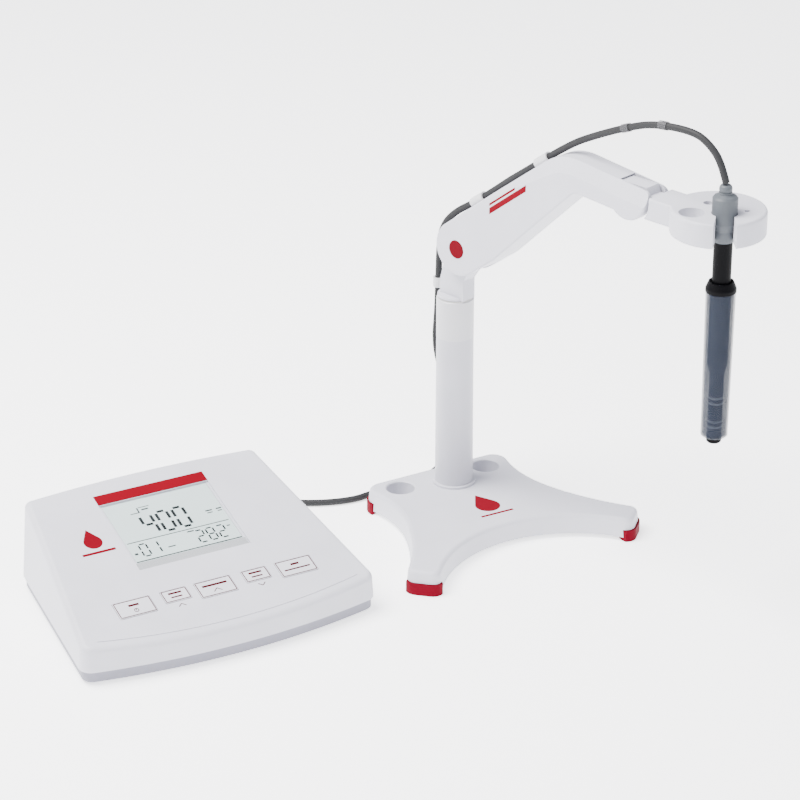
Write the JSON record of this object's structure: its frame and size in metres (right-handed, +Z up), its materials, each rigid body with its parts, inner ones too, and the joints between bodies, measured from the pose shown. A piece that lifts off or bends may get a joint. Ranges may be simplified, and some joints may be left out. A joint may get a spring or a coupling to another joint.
{
  "type": "bench meter with electrode stand",
  "caption": "Bench meter with tilted display and keys, joined by a lead to a probe hung in a swivelling, levelling electrode arm on a weighted stand.",
  "frame": {"origin": "middle of the footprint, on the bench", "axes": "+Z up, the meter's panel faces -Y, the stand is towards +X"},
  "size_m": [0.4463, 0.3457, 0.3396],
  "materials": {
    "case_white": "fine satin moulded plastic",
    "case_lower": "satin moulded plastic, slightly darker",
    "accent_red": "glossy red film",
    "window_clear": "clear flat window",
    "display": "reflective display, pale grey-green",
    "key_white": "soft satin keys with a thin outline",
    "inner_black": "black moulded plastic",
    "circuit_board": "green solder mask",
    "dome_metal": "thin stamped domes on film",
    "screw_steel": "zinc-plated screws",
    "socket_dark": "dark moulded sockets",
    "foot_rubber": "dark rubber feet",
    "foot_red": "red rubber feet",
    "stand_white": "satin moulded plastic",
    "stand_plate": "grey painted steel weight",
    "column_grey": "light grey satin paint",
    "collar_white": "satin collar",
    "bush_plastic": "slippery bearing plastic",
    "pin_steel": "turned steel pins",
    "cap_red": "glossy red caps",
    "clip_white": "white clips",
    "sleeve_clear": "milky sleeves",
    "lead_grey": "flexible dark grey sheath",
    "plug_dark": "moulded plug",
    "probe_grey": "satin mid grey",
    "probe_black": "satin black",
    "sensor_blue": "dark blue-grey sensor shaft",
    "ring_white": "pale ring electrodes",
    "tube_clear": "translucent storage tube",
    "tube_trim": "black tube collar"
  },
  "bodies": {
    "bench_parts": {"top_case": "case_white", "bottom_case": "case_lower", "meter_feet": "foot_rubber", "case_screws": "screw_steel", "board_screws": "screw_steel", "main_board": "circuit_board", "display_window": "window_clear", "accent_bar": "accent_red", "lcd_panel": "display", "lcd_frame": "inner_black", "keypad_domes": "dome_metal", "keypad_board": "circuit_board", "rear_panel": "case_lower", "probe_socket": "socket_dark", "power_socket": "socket_dark", "data_port": "socket_dark", "base_cover": "stand_white", "base_plate": "stand_plate", "base_feet": "foot_red", "base_screws": "screw_steel", "column": "column_grey", "column_bolt": "screw_steel", "column_collar": "collar_white", "swivel_bush": "bush_plastic", "lead_plug": "plug_dark", "lead_bench": "lead_grey"},
    "neck": {"neck": "stand_white", "swivel_bolt": "screw_steel", "swivel_washer": "screw_steel", "neck_clip": "clip_white", "shoulder_link_pin": "pin_steel"},
    "arm": {"arm_shell_right": "stand_white", "arm_shell_left": "stand_white", "arm_screws": "screw_steel", "shoulder_pin": "pin_steel", "friction_washers": "bush_plastic", "shoulder_caps": "cap_red", "wrist_pin": "pin_steel", "lead_clips": "clip_white", "lead_arm": "lead_grey"},
    "link": {"level_link": "pin_steel"},
    "holder": {"holder_head": "stand_white", "wrist_link_pin": "pin_steel", "lead_arc": "lead_grey", "lead_sleeves": "sleeve_clear"},
    "probe": {"probe_head": "probe_grey", "probe_boot": "probe_grey", "probe_shaft": "probe_black", "sensor_body": "sensor_blue", "sensor_rings": "ring_white", "lead_tail": "lead_grey"},
    "tube": {"storage_tube": "tube_clear", "tube_collar": "tube_trim", "tube_plug": "tube_trim"},
    "key_escape": {"key_escape": "key_white"},
    "key_memory": {"key_memory": "key_white"},
    "key_read": {"key_read": "key_white"},
    "key_mode": {"key_mode": "key_white"},
    "key_calibrate": {"key_calibrate": "key_white"}
  },
  "joints": [
    {"name": "neck_swivel", "type": "hinge", "parent": "bench_parts", "child": "neck", "pos_m": [0.1193, 0.1032, 0.15], "axis": [0, 0, 1], "range_deg": [-40, 95], "deforming": ["lead_bench"]},
    {"name": "shoulder_tilt", "type": "hinge", "parent": "neck", "child": "arm", "pos_m": [0.12325, 0.09029, 0.206], "axis": [-0.9563, -0.2924, 0], "range_deg": [-35, 15], "deforming": ["lead_arm"]},
    {"name": "link_turn", "type": "hinge", "parent": "neck", "child": "link", "pos_m": [0.12295, 0.09125, 0.1955], "axis": [-0.9563, -0.2924, 0], "range_deg": [-36, 16]},
    {"name": "wrist_level", "type": "hinge", "parent": "arm", "child": "holder", "pos_m": [0.16725, -0.05363, 0.285], "axis": [-0.9563, -0.2924, 0], "range_deg": [-16, 36], "deforming": ["lead_arc"]},
    {"name": "probe_lift", "type": "slide", "parent": "holder", "child": "probe", "axis": [0, 0, 1], "range_m": [0, 0.024], "deforming": ["lead_tail"]},
    {"name": "tube_pull", "type": "slide", "parent": "probe", "child": "tube", "axis": [0, 0, -1], "range_m": [0, 0.105]},
    {"name": "escape_press", "type": "slide", "parent": "bench_parts", "child": "key_escape", "axis": [0, 0.2672, -0.9636], "range_m": [0, 0.0006], "stiffness_N_per_m": 700, "springref_m": -0.0004},
    {"name": "memory_press", "type": "slide", "parent": "bench_parts", "child": "key_memory", "axis": [0, 0.2672, -0.9636], "range_m": [0, 0.0006], "stiffness_N_per_m": 700, "springref_m": -0.0004},
    {"name": "read_press", "type": "slide", "parent": "bench_parts", "child": "key_read", "axis": [0, 0.2672, -0.9636], "range_m": [0, 0.0006], "stiffness_N_per_m": 700, "springref_m": -0.0004},
    {"name": "mode_press", "type": "slide", "parent": "bench_parts", "child": "key_mode", "axis": [0, 0.2672, -0.9636], "range_m": [0, 0.0006], "stiffness_N_per_m": 700, "springref_m": -0.0004},
    {"name": "calibrate_press", "type": "slide", "parent": "bench_parts", "child": "key_calibrate", "axis": [0, 0.2672, -0.9636], "range_m": [0, 0.0006], "stiffness_N_per_m": 700, "springref_m": -0.0004}
  ],
  "couplings": [
    {"joint": "link_turn", "follows": "shoulder_tilt", "ratio": 1},
    {"joint": "wrist_level", "follows": "shoulder_tilt", "ratio": -1}
  ]
}
